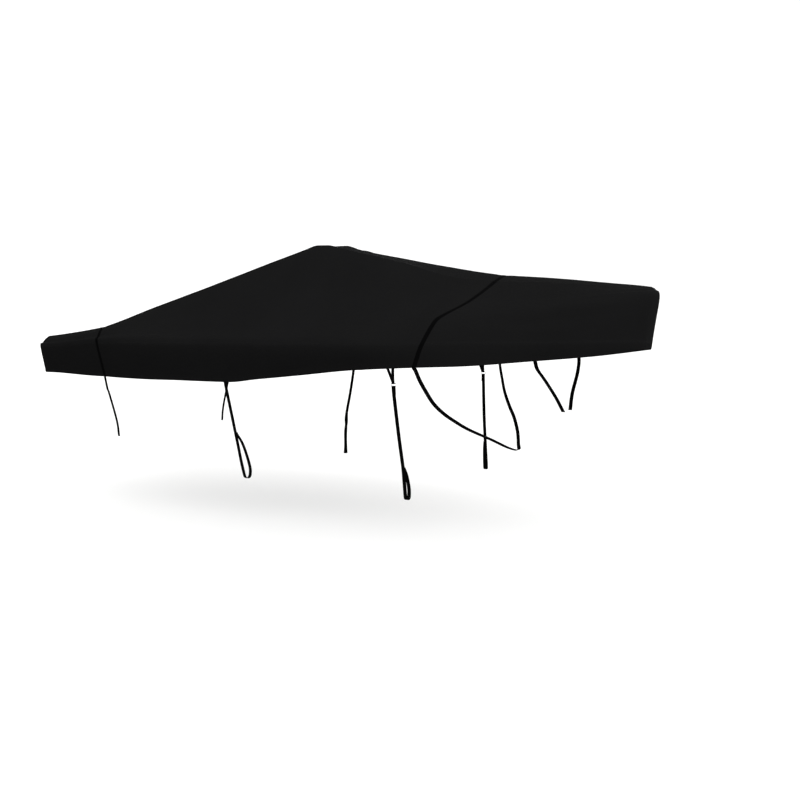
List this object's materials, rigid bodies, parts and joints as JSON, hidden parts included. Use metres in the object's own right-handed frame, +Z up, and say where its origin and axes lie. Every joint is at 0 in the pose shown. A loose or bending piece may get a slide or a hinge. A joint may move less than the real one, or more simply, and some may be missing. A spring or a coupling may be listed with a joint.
{
  "type": "boat cover",
  "caption": "Fitted canvas storm cover for a trailered open runabout: hollow tented sheet with skirts, over-straps and tie-downs.",
  "frame": {"origin": "on the underside of the cloth where the windscreen holds it up, at the highest place on the centreline", "axes": "+X to the bow, +Y to port, +Z up"},
  "size_m": [5.227, 2.11, 1.9409],
  "materials": {
    "canvas": "matt coated polyester canvas, black, fine plain weave",
    "webbing": "woven polypropylene webbing, black",
    "zinc_plate": "zinc plated wire"
  },
  "bodies": {
    "root": {"cover": "canvas", "stern_strap": "webbing", "bow_strap": "webbing", "mid_tie_starboard": "webbing", "fore_tie_starboard": "webbing", "fore_tab_starboard": "webbing", "ring_starboard": "zinc_plate", "bow_tie_starboard": "webbing", "mid_tie_port": "webbing", "fore_tie_port": "webbing", "fore_tab_port": "webbing", "ring_port": "zinc_plate", "bow_tie_port": "webbing"}
  },
  "joints": []
}
